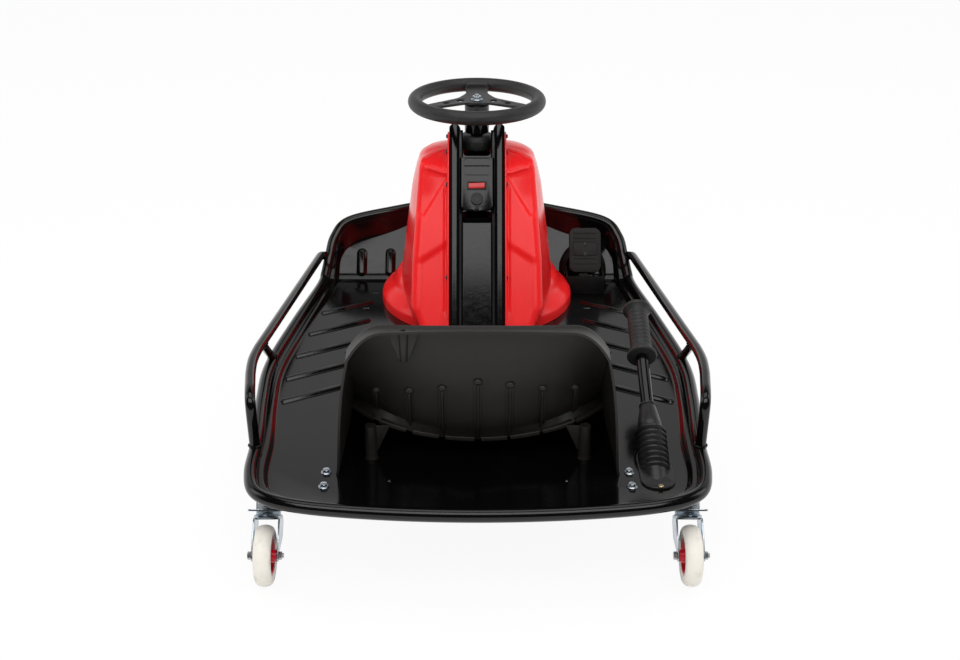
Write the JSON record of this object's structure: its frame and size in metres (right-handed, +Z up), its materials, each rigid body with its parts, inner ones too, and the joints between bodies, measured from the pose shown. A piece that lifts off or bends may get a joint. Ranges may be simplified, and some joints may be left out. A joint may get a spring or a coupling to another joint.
{
  "type": "electric drift kart",
  "caption": "Electric drift kart: pressed floor pan in a tube frame, steered front drive wheel under a moulded shroud, bucket seat, hand lever and drift bar with casters.",
  "frame": {"origin": "on the ground, midway between the outermost points of the kart in X and Y", "axes": "+Z up, +Y towards the front of the kart, +X to the driver's right; X = 0 is the plane through the steering axis, and +Y runs along the length"},
  "size_m": [0.798, 1.0904, 0.5775],
  "materials": {
    "gloss_black_paint": "gloss",
    "gloss_black_moulding": "gloss",
    "black_moulding": "satin",
    "charcoal_moulding": "matte",
    "red_moulding": "gloss",
    "black_rubber": "satin",
    "tyre_rubber": "matte",
    "zinc_plate": "satin",
    "plain_steel": "satin",
    "alloy": "satin",
    "white_tread": "satin",
    "red_hub": "satin",
    "battery_case": "matte",
    "red_rocker": "gloss"
  },
  "bodies": {
    "chassis": {"frame_tube": "gloss_black_paint", "floor_pan": "gloss_black_paint", "side_rail_left": "gloss_black_paint", "side_rail_right": "gloss_black_paint", "spine_channel": "gloss_black_paint", "head_tube": "gloss_black_paint", "bearing_lower": "plain_steel", "bearing_upper": "plain_steel", "bearing_cap": "black_moulding", "switch_panel": "gloss_black_moulding", "charge_port": "black_moulding", "shroud_left": "red_moulding", "shroud_right": "red_moulding", "seat_shell": "charcoal_moulding", "seat_post_left": "black_moulding", "seat_post_right": "black_moulding", "battery_tray": "gloss_black_paint", "battery_left": "battery_case", "battery_right": "battery_case", "motor_controller": "alloy", "drift_bracket_left": "gloss_black_paint", "drift_bracket_right": "gloss_black_paint", "drift_bolt_left_front": "zinc_plate", "drift_bolt_left_rear": "zinc_plate", "drift_bolt_right_front": "zinc_plate", "drift_bolt_right_rear": "zinc_plate", "pedal_bracket": "gloss_black_paint", "pedal_spring": "plain_steel", "pedal_housing": "black_moulding", "lever_boot": "black_rubber"},
    "steering": {"front_fork": "gloss_black_paint", "drive_axle": "plain_steel", "drive_motor": "black_moulding", "drive_chain": "plain_steel", "steering_column": "gloss_black_paint", "steering_rim": "black_rubber", "steering_spokes": "gloss_black_paint", "steering_nut": "zinc_plate"},
    "drive_wheel": {"drive_tyre": "tyre_rubber", "drive_rim": "alloy", "wheel_sprocket": "plain_steel"},
    "motor_sprocket": {"motor_sprocket": "plain_steel"},
    "drift_bar": {"drift_bar": "zinc_plate", "drift_lever": "gloss_black_paint", "lever_grip": "black_rubber", "caster_plate_left": "zinc_plate", "caster_plate_right": "zinc_plate"},
    "caster_fork_left": {"caster_fork_left": "zinc_plate", "caster_bolt_left": "plain_steel"},
    "caster_fork_right": {"caster_fork_right": "zinc_plate", "caster_bolt_right": "plain_steel"},
    "caster_wheel_left": {"caster_tread_left": "white_tread", "caster_hub_left": "red_hub"},
    "caster_wheel_right": {"caster_tread_right": "white_tread", "caster_hub_right": "red_hub"},
    "pedal": {"pedal_pad": "black_rubber"},
    "power_switch": {"switch_rocker": "red_rocker"},
    "charge_cap": {"charge_cap": "black_rubber"}
  },
  "joints": [
    {"name": "steering", "type": "hinge", "parent": "chassis", "child": "steering", "pos_m": [0, 0.32, 0.41], "axis": [0, 0, 1], "continuous": true},
    {"name": "drive_wheel_spin", "type": "hinge", "parent": "steering", "child": "drive_wheel", "pos_m": [0, 0.32, 0.15], "axis": [1, 0, 0], "continuous": true},
    {"name": "motor_sprocket_spin", "type": "hinge", "parent": "steering", "child": "motor_sprocket", "pos_m": [0, 0.32, 0.245], "axis": [1, 0, 0], "continuous": true},
    {"name": "drift_bar_roll", "type": "hinge", "parent": "chassis", "child": "drift_bar", "pos_m": [0, -0.415, 0.12998], "axis": [1, 0, 0], "range_deg": [0, 32], "deforming": ["lever_boot"]},
    {"name": "caster_swivel_left", "type": "hinge", "parent": "drift_bar", "child": "caster_fork_left", "pos_m": [-0.338, -0.42252, 0.09247], "axis": [0, 0.5299, 0.848], "continuous": true},
    {"name": "caster_swivel_right", "type": "hinge", "parent": "drift_bar", "child": "caster_fork_right", "pos_m": [0.338, -0.42252, 0.09247], "axis": [0, 0.5299, 0.848], "continuous": true},
    {"name": "caster_spin_left", "type": "hinge", "parent": "caster_fork_left", "child": "caster_wheel_left", "pos_m": [-0.338, -0.48506, 0.049], "axis": [1, 0, 0], "continuous": true},
    {"name": "caster_spin_right", "type": "hinge", "parent": "caster_fork_right", "child": "caster_wheel_right", "pos_m": [0.338, -0.48506, 0.049], "axis": [1, 0, 0], "continuous": true},
    {"name": "pedal_press", "type": "hinge", "parent": "chassis", "child": "pedal", "pos_m": [0.227, 0.365, 0.16998], "axis": [-1, 0, 0], "range_deg": [0, 18], "stiffness_Nm_per_rad": 1.5, "springref_deg": -17.19},
    {"name": "power_switch_rock", "type": "hinge", "parent": "chassis", "child": "power_switch", "pos_m": [0, 0.23106, 0.41915], "axis": [0, 0.5, 0.866], "range_deg": [0, 12]},
    {"name": "charge_cap_swing", "type": "hinge", "parent": "chassis", "child": "charge_cap", "pos_m": [0, 0.20139, 0.38317], "axis": [1, 0, 0], "range_deg": [0, 120]}
  ],
  "couplings": [
    {"joint": "motor_sprocket_spin", "follows": "drive_wheel_spin", "ratio": 4}
  ]
}
